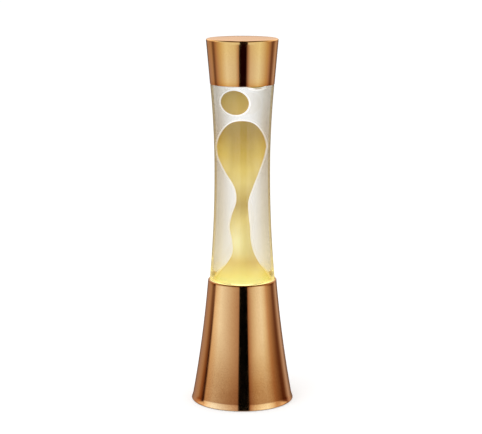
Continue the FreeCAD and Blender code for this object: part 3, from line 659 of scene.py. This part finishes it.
# The floor's glow is painted light from the bulb below.
glowing_floor = Finish(
    "glowing_floor", {"Roughness": 0.3, "Specular IOR Level": 0.2, "Emission Strength": 1.0}
)
floor_glow_grain = glowing_floor.grain(6)
glowing_floor.vary(floor_glow_grain, [(0.3, (0.10, 0.08, 0.02)), (0.7, (0.12, 0.10, 0.03))])
glowing_floor.feed(
    "Emission Color", glowing_floor.ramp(floor_glow_grain, [(0.3, colour("f2de88")), (0.7, colour("f6e694"))])
)
for finish in (bottle_lining, glowing_floor):
    blown_bottle.data.materials.append(finish.material)
for face in blown_bottle.data.polygons:
    if face.index // FINE_TURNS >= len(outer_face) - 1:
        face.material_index = 2 if face.center.z < FLOOR_GLOWS_TO else 1
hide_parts("glass_bottle")
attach(blown_bottle, "bottle")


# The liquid: clear water, salted until the warm wax floats in it. It is poured in to part way up
# the neck, and wets the glass and the wax all round.

WETS_BY = 0.1
FILL_HEIGHT = 366.3
LIQUID_SIDE = (0.134, 0.354)

clear_filling = turned(
    "clear_filling",
    [(0, GLASS_FLOOR - WETS_BY)]
    + glass_face(
        GLASS_FLOOR - WETS_BY,
        FLOOR_ROUND,
        GLASS_WALL - WETS_BY,
        NECK - NECK_WALL + WETS_BY,
        NECK_ROOT + NECK_WALL,
        FILL_HEIGHT,
    )
    + [(0, FILL_HEIGHT)],
)
clear_liquid = Finish("clear_liquid", {"Transmission Weight": 1.0, "IOR": 1.34, "Roughness": 0.0})
up_the_liquid = clear_liquid.between(clear_liquid.height(), 0.0, 1.0, *LIQUID_SIDE)
# The liquid is painted a little yellower toward the floor, as painted light from the wax.
clear_liquid.vary(
    up_the_liquid, [(0.00, colour("faf6ea")), (0.40, colour("fbf9f5")), (0.85, colour("fcfcfb"))]
)
clear_liquid.cover(clear_filling)
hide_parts("clear_liquid")
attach(clear_filling, "bottle")


# The wax: melted, lit and warmed from below. It rises from the floor as a cone and a thin
# wavering neck to a large bulb. A ball floats free above, and a drop lies under the shoulder.

# The column's rings: how far up it, the radius, and how far it leans to the right.
COLUMN_FOOT = 134.3
COLUMN_TOP = 312.0
COLUMN_SECTIONS = (
    (0.000, 22.6, 0.2),
    (0.045, 19.6, 0.3),
    (0.110, 13.2, 0.7),
    (0.175, 8.9, 0.7),
    (0.250, 7.7, -0.6),
    (0.340, 8.3, -2.0),
    (0.415, 6.9, -1.7),
    (0.500, 5.0, 0.0),
    (0.585, 7.4, 1.1),
    (0.685, 13.8, -0.2),
    (0.775, 18.7, -1.0),
    (0.835, 20.1, -0.7),
)

# The bulb's dome is a quarter ellipse, with its cosine and its sine raised to these powers.
DOME_FLANK = 0.76
DOME_CROWN = 1.33
DOME_LEANS = 0.5
COLUMN_RINGS = 120
DOME_RINGS = 40

# The ball and the drop: the middle, the radius, half the height, and the lean for each
# millimetre up. All the wax is shown with a thin skin of the light that comes round it. Where
# the wax is level, a small part of the skin still counts.
BALL = ((-6.0, 0.0, 331.9), 11.4, 13.3, -0.055)
DROP = ((11.3, 3.0, 351.1), 9.5, 5.0, 0.0)
EGG_RINGS = 48
WAX_SKIN = 1.25
LEVEL_SKIN = 0.02

# The glow by height, from the floor to the drop, and patches where it is stronger or weaker:
# how far across, how high, half the width and height, and what the glow is multiplied by.
WAX_SIDE = (0.134, 0.344)
WAX_GLOW = [
    (0.00, "e6ea9c"),
    (0.04, "eddf7d"),
    (0.11, "d8bb67"),
    (0.16, "dfd18e"),
    (0.21, "e4d896"),
    (0.33, "d7c379"),
    (0.41, "ab8e47"),
    (0.53, "d6c174"),
    (0.60, "d5bc60"),
    (0.67, "be9e38"),
    (0.78, "9c7a25"),
    (0.84, "917430"),
    (0.90, "b79749"),
    (1.00, "9f812f"),
]
WAX_PATCHES = [
    (-6.0, 182.0, 8.0, 26.0, (1.12, 1.20, 1.50)),
    (8.0, 176.0, 10.0, 34.0, (0.80, 0.75, 0.60)),
    (12.0, 157.0, 12.0, 12.0, (0.95, 0.92, 0.84)),
    (-20.0, 284.0, 10.5, 48.0, (1.75, 2.05, 4.30)),
    (19.5, 284.0, 11.5, 48.0, (1.68, 1.95, 4.20)),
]


def faired(values, at_share):
    """A smooth line through rows of a place and a value, read at one place."""
    last = len(values) - 2
    i = max(n for n in range(last + 1) if n == 0 or values[n][0] <= at_share)
    (x0, y0), (x1, y1) = values[i], values[i + 1]
    before = values[i - 1] if i > 0 else (2 * x0 - x1, 2 * y0 - y1)
    after = values[i + 2] if i < last else (2 * x1 - x0, 2 * y1 - y0)
    width = x1 - x0
    m0 = (y1 - before[1]) / (x1 - before[0]) * width
    m1 = (after[1] - y0) / (after[0] - x0) * width
    t = (at_share - x0) / width
    return (
        (2 * t**3 - 3 * t**2 + 1) * y0
        + (t**3 - 2 * t**2 + t) * m0
        + (3 * t**2 - 2 * t**3) * y1
        + (t**3 - t**2) * m1
    )


def skinned(rows, skin):
    """Rings of wax moved out by the skin, square to the wax's side. Each also gets the facing,
    from 0 in front to 1 at the outline, from which a straight look misses the wax itself."""
    grown = []
    for i, (z, radius, across, back) in enumerate(rows):
        below, above = rows[max(i - 1, 0)], rows[min(i + 1, len(rows) - 1)]
        lean = math.atan2(below[1] - above[1], above[0] - below[0])
        out = radius + skin * math.cos(lean)
        up = z if i == 0 else z + skin * math.sin(lean)
        share = min(skin * max(math.cos(lean), LEVEL_SKIN) / out, 1.0)
        grown.append((up, out, across, back, 1 - math.sqrt(2 * share - share**2)))
    return grown


def stacked(name, rows, turns=96):
    """A closed piece from level rings, each a height, a radius, how far it leans across and
    back, and its rim, with a point at the middle of its first and last ring."""
    points, faces, rims = [], [], []
    for z, radius, across, back, rim in rows:
        for i in range(turns):
            angle = 2 * math.pi * i / turns
            x = across + radius * math.cos(angle)
            y = back + radius * math.sin(angle)
            points.append((x / 1000, y / 1000, z / 1000))
            rims.append(rim)
    for row in range(len(rows) - 1):
        for i in range(turns):
            j = (i + 1) % turns
            low, high = row * turns, (row + 1) * turns
            faces.append((low + i, low + j, high + j, high + i))
    for ring, first in ((rows[0], 0), (rows[-1], (len(rows) - 1) * turns)):
        z, _, across, back, rim = ring
        points.append((across / 1000, back / 1000, z / 1000))
        rims.append(rim)
        middle = len(points) - 1
        for i in range(turns):
            j = (i + 1) % turns
            pair = (first + j, first + i) if first == 0 else (first + i, first + j)
            faces.append((*pair, middle))
    piece = piece_of(name, points, faces)
    piece.data.attributes.new("rim", "FLOAT", "POINT").data.foreach_set("value", rims)
    return piece


def egg(name, centre, radius, half_height, lean):
    """A loose piece of wax, drawn round by its own skin."""
    rows = []
    for i in range(1, EGG_RINGS):
        turn = math.pi * i / EGG_RINGS
        up = -half_height * math.cos(turn)
        rows.append((centre[2] + up, radius * math.sin(turn), centre[0] + up * lean, centre[1]))
    return stacked(name, skinned(rows, WAX_SKIN))


rise = COLUMN_TOP - COLUMN_FOOT
bulb_share = COLUMN_SECTIONS[-1][0]
radii = [(share, radius) for share, radius, _ in COLUMN_SECTIONS]
leans = [(share, lean) for share, _, lean in COLUMN_SECTIONS]
column = []
for i in range(COLUMN_RINGS + 1):
    share = bulb_share * i / COLUMN_RINGS
    column.append((COLUMN_FOOT + share * rise, faired(radii, share), faired(leans, share), 0))
bulb_z, bulb_radius, bulb_lean, _ = column[-1]
for i in range(1, DOME_RINGS):
    turn = math.pi / 2 * i / DOME_RINGS
    z = bulb_z + (COLUMN_TOP - bulb_z) * math.sin(turn) ** DOME_CROWN
    across = bulb_lean + DOME_LEANS * i / DOME_RINGS
    column.append((z, bulb_radius * math.cos(turn) ** DOME_FLANK, across, 0))
rising_wax = stacked("rising_wax", skinned(column, WAX_SKIN))
floating_ball = egg("floating_ball", *BALL)
shoulder_drop = egg("shoulder_drop", *DROP)

lit_wax = Finish("lit_wax", {"Roughness": 0.4, "Specular IOR Level": 0.05, "Emission Strength": 1.0})
up_the_bottle = lit_wax.between(lit_wax.height(), 0.0, 1.0, *WAX_SIDE)
glow = lit_wax.ramp(up_the_bottle, [(place, colour(code)) for place, code in WAX_GLOW])


def patch(finish, across, height, half_width, half_height):
    """1 in the middle of an upright patch, seen from the front, and 0 outside it."""
    shares = {
        "Vector": finish.place(),
        "Location": (-across / half_width, 0, -height / half_height),
        "Scale": (1000 / half_width, 0, 1000 / half_height),
    }
    where = finish.node("ShaderNodeMapping", shares).outputs[0]
    return finish.node("ShaderNodeTexGradient", {0: where}, gradient_type="SPHERICAL").outputs["Fac"]


for *extent, shade in WAX_PATCHES:
    glow = lit_wax.mix(patch(lit_wax, *extent), glow, shade, "MULTIPLY")

# The light comes round the wax in a thin pale rim, with a warm line inside it. The facing over
# the rim's own facing is 1 where a straight look just misses the wax under its skin.
RIM_REACHES = 1.25

rim = lit_wax.node("ShaderNodeAttribute", attribute_name="rim").outputs["Fac"]
facing_away = lit_wax.node("ShaderNodeLayerWeight", {"Blend": 0.5}).outputs["Facing"]
to_the_rim = lit_wax.between(lit_wax.math("DIVIDE", facing_away, rim), 0.0, 1.0, 0.0, RIM_REACHES)
warm_line = lit_wax.ramp(
    to_the_rim,
    [
        (0.60, (1, 1, 1)),
        (0.71, (0.95, 0.90, 0.80)),
        (0.76, (1.10, 1.05, 0.90)),
    ],
)
pale_rim = lit_wax.ramp(to_the_rim, [(0.76, (0, 0, 0)), (0.80, (1, 1, 1))])
glow = lit_wax.mix(1.0, glow, warm_line, "MULTIPLY")
rim_glow = lit_wax.ramp(
    up_the_bottle,
    [
        (0.03, (0.80, 0.66, 0.20)),
        (0.075, (0.80, 0.68, 0.28)),
        (0.10, (0.72, 0.68, 0.56)),
        (0.40, (0.76, 0.73, 0.66)),
        (0.80, (0.95, 0.96, 0.97)),
    ],
)
lit_wax.feed("Emission Color", lit_wax.mix(pale_rim, glow, rim_glow))
milky = lit_wax.ramp(lit_wax.grain(9, detail=2), [(0.3, (0.27, 0.21, 0.03)), (0.7, (0.31, 0.25, 0.05))])
lit_wax.feed("Base Color", lit_wax.mix(pale_rim, milky, (0.45, 0.44, 0.42)))
lit_wax.cover(rising_wax, floating_ball, shoulder_drop)
for wax, node, body in (
    (rising_wax, "wax_column", "bottle"),
    (floating_ball, "wax_ball", "floating_wax"),
    (shoulder_drop, "wax_drop", "bottle"),
):
    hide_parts(node)
    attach(wax, body)


# The wire coil in the foot of the wax: bright drawn steel, bent to a ring. It lies loose on the
# bottle's floor and spreads the heat.

drawn_steel = Finish("drawn_steel", {"Metallic": 1.0})
drawn_steel.vary(
    drawn_steel.grain(1.0, detail=3),
    [(0.3, (0.48, 0.48, 0.47)), (0.7, (0.62, 0.62, 0.60))],
    roughness=(0.2, 0.35),
)
drawn_steel.cover(cad["wax_coil"])


# The crown cap: pressed tinplate with a fluted skirt, lacquered, crimped under the bottle's
# bead over a grey sealing liner.

tinplate = Finish("tinplate", {"Metallic": 1.0, "Coat Weight": 0.4, "Coat Roughness": 0.1})
tinplate.vary(
    tinplate.grain(3, detail=5),
    [(0.3, (0.66, 0.60, 0.46)), (0.7, (0.80, 0.76, 0.64))],
    roughness=(0.2, 0.34),
    depth=0.01,
)
tinplate.cover(cad["crown_cap"])

sealing_liner = Finish("sealing_liner", {"Roughness": 0.7})
sealing_liner.vary(
    sealing_liner.grain(0.8, detail=4),
    [(0.3, colour("c9c9c4")), (0.7, colour("dcdcd8"))],
    depth=0.02,
)
sealing_liner.cover(cad["crown_liner"])


# The cap: a cup of the same spun and plated metal, wider at its closed top, with a rounded edge
# and a mouth turned true. It rests loosely on the bottle's shoulder.

CAP_MOUTH = (34.9, 351.1)
CAP_TOP = (39.2, 400.0)
CAP_SHEET = 0.7
CAP_EDGE = 1.6
MOUTH_EDGE = 0.2
TOP_FLAT = 20.0


def cup_edge(mouth, top, rounding, steps):
    """The rounding between a cup's leaning side and its level top."""
    lean = math.atan2(top[0] - mouth[0], top[1] - mouth[1])
    z = top[1] - rounding
    radius = mouth[0] + (z - mouth[1]) * math.tan(lean) - rounding / math.cos(lean)
    return curve((radius, z), rounding, -math.degrees(lean), 90, steps)


outer_edge = cup_edge(CAP_MOUTH, CAP_TOP, CAP_EDGE, 14)
inner_edge = cup_edge(
    (CAP_MOUTH[0] - CAP_SHEET, CAP_MOUTH[1]),
    (CAP_TOP[0] - CAP_SHEET, CAP_TOP[1] - CAP_SHEET),
    CAP_EDGE - CAP_SHEET,
    8,
)


def straight(start, end, steps):
    """Points along a straight line, without its ends."""
    shares = [i / steps for i in range(1, steps)]
    return [(start[0] + (end[0] - start[0]) * s, start[1] + (end[1] - start[1]) * s) for s in shares]


mouth_outside = (CAP_MOUTH[0], CAP_MOUTH[1] + MOUTH_EDGE)
mouth_inside = (CAP_MOUTH[0] - CAP_SHEET, CAP_MOUTH[1] + MOUTH_EDGE)
mouth_turn = curve((CAP_MOUTH[0] - MOUTH_EDGE, CAP_MOUTH[1] + MOUTH_EDGE), MOUTH_EDGE, -90, 0, 4)
mouth_back = curve(
    (CAP_MOUTH[0] - CAP_SHEET + MOUTH_EDGE, CAP_MOUTH[1] + MOUTH_EDGE), MOUTH_EDGE, 180, 270, 4
)
spun_cap = turned(
    "spun_cap",
    [(0, CAP_TOP[1] - CAP_SHEET)]
    + inner_edge[::-1]
    + straight(inner_edge[0], mouth_inside, 12)
    + mouth_back
    + mouth_turn
    + straight(mouth_outside, outer_edge[0], 16)
    + outer_edge
    + [(TOP_FLAT, CAP_TOP[1]), (0, CAP_TOP[1])],
)
polished_copper.cover(spun_cap)
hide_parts("top_cap")
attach(spun_cap, "cap")


# The studio: a plain white floor that runs on out of sight, two tall soft boxes beside the camera
# with a dark gap between them, and a soft lamp above. Only the metal and the outside of the glass
# mirror the boxes, and everything else gets even white light.

CAMERA_PLACE = (-0.0014, -1.750, 0.531)
CAMERA_PITCH = 10.56
CAMERA_LENS = 121.3
LAMP_PLACE = (-0.8, -1.0, 2.2)
LAMP_ACROSS = 1.6
LAMP_STRENGTH = 12
LAMP_TILT = 28
LAMP_TURN = -38
FLOOR_ACROSS = 40
FLOOR_LIGHT = 0.25

# The light of the boxes by degrees round the lamp: 0 is toward the camera, and above 0 is to its
# right. Each box falls off to a warm tone at its ends, the gap is black, thin dark stands are at
# the sides, and the room behind is dark. From the front, the cap leans so that it mirrors the
# first list, well below the level, and the base mirrors the second, near the level. Far round
# its sides the base mirrors the first list too.
BOXES_IN_CAP = [
    (-180, (0.21, 0.11, 0.07)),
    (-161, (0.24, 0.15, 0.11)),
    (-148, (0.43, 0.27, 0.21)),
    (-122, (0.55, 0.36, 0.26)),
    (-111, (0.19, 0.10, 0.07)),
    (-106, (0.24, 0.13, 0.09)),
    (-98, (0.48, 0.28, 0.20)),
    (-76, (0.77, 0.65, 0.44)),
    (-54, (0.97, 1.02, 0.99)),
    (-24, (0.82, 0.80, 0.72)),
    (-13, (0.55, 0.35, 0.25)),
    (-10, (0.01, 0.00, 0.00)),
    (13, (0.01, 0.00, 0.00)),
    (18, (0.40, 0.22, 0.17)),
    (28, (0.79, 0.71, 0.63)),
    (58, (0.98, 1.06, 1.00)),
    (90, (0.65, 0.48, 0.29)),
    (102, (0.51, 0.31, 0.22)),
    (113, (0.18, 0.09, 0.07)),
    (120, (0.21, 0.10, 0.07)),
    (138, (0.62, 0.46, 0.42)),
    (151, (0.33, 0.22, 0.17)),
    (163, (0.18, 0.10, 0.07)),
    (180, (0.21, 0.11, 0.07)),
]
BOXES_IN_BASE = [
    (-180, (0.01, 0.01, 0.00)),
    (-160, (0.02, 0.01, 0.00)),
    (-150, (0.40, 0.28, 0.25)),
    (-138, (0.50, 0.32, 0.25)),
    (-116, (0.59, 0.26, 0.11)),
    (-104, (0.04, 0.01, 0.01)),
    (-101, (0.14, 0.05, 0.02)),
    (-96, (1.07, 0.91, 0.78)),
    (-72, (1.13, 1.21, 1.36)),
    (-30, (0.71, 0.58, 0.52)),
    (-11, (0.54, 0.35, 0.28)),
    (-8.5, (0.00, 0.00, 0.00)),
    (15.5, (0.00, 0.00, 0.00)),
    (18, (0.47, 0.23, 0.13)),
    (30, (0.79, 0.68, 0.59)),
    (44, (1.02, 1.02, 1.04)),
    (60, (1.12, 1.21, 1.33)),
    (72, (1.00, 0.97, 0.93)),
    (84, (0.70, 0.48, 0.35)),
    (110, (0.17, 0.06, 0.03)),
    (121, (0.17, 0.05, 0.02)),
    (134, (0.61, 0.42, 0.40)),
    (180, (0.01, 0.01, 0.00)),
]

# The upright glass mirrors the boxes in between, and there they are evenly bright.
BOXES_IN_GLASS = [
    (-9, (0.95, 1.00, 1.00)),
    (-7, (0.02, 0.01, 0.01)),
    (17, (0.02, 0.01, 0.01)),
    (19, (0.95, 1.00, 1.00)),
]

# Where one light gives way to the next, each a start and an end. Levels are the upward part of a
# direction, from -1 to 1, and the ways right and back are its other two parts.
CAP_TO_BASE = (-0.13, -0.10)
GLASS_STARTS = (-0.245, -0.222)
GLASS_ENDS = (-0.10, -0.06)
FRONT_ENDS = (math.radians(40), math.radians(52))
BAND_LEVELS = (-0.08, 0.42)
BAND_ENDS_BACK = (0.50, 0.70)
BAND_RISES = 0.21
WARM_LEVELS = (0.0, 0.045)
WARM_RIGHT = (0.25, 0.55)
DARK_STARTS = (0.34, 0.44)
DARK_ENDS = (0.95, 0.99)
WALL_BACK = (-0.05, 0.20)
WALL_STARTS = (0.01, 0.04)
TABLE_ENDS = (-0.62, -0.34)

world = bpy.data.worlds.new("studio")
bpy.context.scene.world = world
world.use_nodes = True


class Studio(Finish):
    """The light from every direction, built up like a material."""

    def __init__(self, tree):
        self.nodes = tree.nodes
        self.links = tree.links
        self.shader = self.nodes["Background"]

    def starting(self, value, limits):
        """0 before the limits and 1 after them."""
        return self.between(value, 0.0, 1.0, *limits)

    def ending(self, value, limits):
        """1 before the limits and 0 after them."""
        return self.between(value, 1.0, 0.0, *limits)

    def round_the_lamp(self, turn, lights):
        """Lights by degrees from the camera, where the turn is 0 and 1 straight behind."""
        return self.ramp(turn, [((degrees + 180) / 360, light) for degrees, light in lights])


studio = Studio(world.node_tree)
toward = studio.node(
    "ShaderNodeSeparateXYZ", {0: studio.node("ShaderNodeTexCoord").outputs["Generated"]}
)
right, back, up = toward.outputs
from_camera = studio.math("ARCTAN2", right, studio.math("MULTIPLY", back, -1.0))
turn = studio.between(from_camera, 0.0, 1.0, -math.pi, math.pi)
in_cap = studio.round_the_lamp(turn, BOXES_IN_CAP)
in_base = studio.round_the_lamp(turn, BOXES_IN_BASE)
in_glass = studio.round_the_lamp(turn, BOXES_IN_GLASS)
boxes = studio.mix(studio.starting(up, CAP_TO_BASE), in_cap, in_base)
at_the_glass = studio.math(
    "MULTIPLY", studio.starting(up, GLASS_STARTS), studio.ending(up, GLASS_ENDS)
)
in_front = studio.ending(studio.math("ABSOLUTE", from_camera), FRONT_ENDS)
boxes = studio.mix(studio.math("MULTIPLY", at_the_glass, in_front), boxes, in_glass)

# The boxes are a little dimmer toward the table, and the table's far end is dim. Above it they
# shine fully again. The level lies higher the more a mirrored look is turned to the back, where
# all this fades out.
level = studio.math("ADD", up, studio.between(back, 0.0, BAND_RISES, -1.0, 1.0))
band = studio.ramp(
    studio.starting(level, BAND_LEVELS),
    [
        (0.000, (1.00, 1.00, 1.00)),
        (0.030, (0.91, 0.87, 0.83)),
        (0.090, (0.95, 0.93, 0.91)),
        (0.150, (0.95, 0.94, 0.92)),
        (0.175, (1.00, 1.00, 1.00)),
        (0.185, (0.97, 0.96, 0.95)),
        (0.205, (0.84, 0.80, 0.75)),
        (0.225, (0.78, 0.69, 0.58)),
        (0.250, (0.56, 0.42, 0.32)),
        (0.330, (0.50, 0.36, 0.28)),
        (0.420, (1.05, 1.08, 1.15)),
        (0.800, (1.15, 1.25, 1.40)),
    ],
)
mirrored = studio.mix(studio.ending(back, BAND_ENDS_BACK), boxes, band, "MULTIPLY")
warm_side = studio.math(
    "MULTIPLY", studio.starting(level, WARM_LEVELS), studio.starting(right, WARM_RIGHT)
)
mirrored = studio.mix(warm_side, mirrored, (0.99, 0.91, 0.78), "MULTIPLY")

# Over the boxes it is dark up to the lamp above. A pale wall stands far behind, and the table is
# below.
over_boxes = studio.math("MULTIPLY", studio.starting(up, DARK_STARTS), studio.ending(up, DARK_ENDS))
mirrored = studio.mix(over_boxes, mirrored, (0.04, 0.02, 0.01))
wall = studio.ramp(
    up,
    [
        (0.03, (0.80, 0.56, 0.41)),
        (0.12, (1.00, 0.73, 0.54)),
        (0.30, (1.25, 1.05, 0.95)),
        (0.60, (0.90, 0.70, 0.55)),
        (1.00, (0.25, 0.16, 0.10)),
    ],
)
behind = studio.math("MULTIPLY", studio.starting(back, WALL_BACK), studio.starting(up, WALL_STARTS))
mirrored = studio.mix(behind, mirrored, wall)
mirrored = studio.mix(studio.starting(up, TABLE_ENDS), (0.52, 0.42, 0.36), mirrored)
ray = studio.node("ShaderNodeLightPath").outputs
mirror_only = studio.math("SUBTRACT", ray["Is Glossy Ray"], ray["Is Transmission Ray"], clamp=True)
studio.feed("Color", studio.mix(mirror_only, (1, 1, 1), mirrored))

# Metal and glass look through the floor, to the studio's own light.
bpy.ops.mesh.primitive_plane_add(size=FLOOR_ACROSS)
floor = bpy.context.object
floor.name = "white_floor"
white_floor = Finish(
    "white_floor",
    {
        "Base Color": (0.8, 0.8, 0.8, 1),
        "Roughness": 0.9,
        "Specular IOR Level": 0.0,
        "Emission Color": (1, 1, 1, 1),
        "Emission Strength": FLOOR_LIGHT,
    },
)
path = white_floor.node("ShaderNodeLightPath").outputs
mirror_or_glass = white_floor.math("MAXIMUM", path["Is Glossy Ray"], path["Is Transmission Ray"])
see_through = white_floor.node("ShaderNodeBsdfTransparent").outputs[0]
floor_shader = white_floor.node(
    "ShaderNodeMixShader", {0: mirror_or_glass, 1: white_floor.shader.outputs[0], 2: see_through}
)
white_floor.links.new(floor_shader.outputs[0], white_floor.nodes["Material Output"].inputs[0])
white_floor.cover(floor)

lamp = bpy.data.lights.new("soft_lamp", "AREA")
lamp.shape = "DISK"
lamp.size = LAMP_ACROSS
lamp.energy = LAMP_STRENGTH
soft_lamp = bpy.data.objects.new("soft_lamp", lamp)
soft_lamp.location = LAMP_PLACE
soft_lamp.rotation_euler = (math.radians(LAMP_TILT), 0, math.radians(LAMP_TURN))
soft_lamp.visible_glossy = False
bpy.context.scene.collection.objects.link(soft_lamp)

camera = bpy.data.objects.new("camera", bpy.data.cameras.new("camera"))
camera.location = CAMERA_PLACE
camera.rotation_euler = (math.radians(90 - CAMERA_PITCH), 0, 0)
camera.data.lens = CAMERA_LENS
bpy.context.scene.collection.objects.link(camera)
bpy.context.scene.camera = camera
bpy.context.scene.view_settings.view_transform = "Standard"
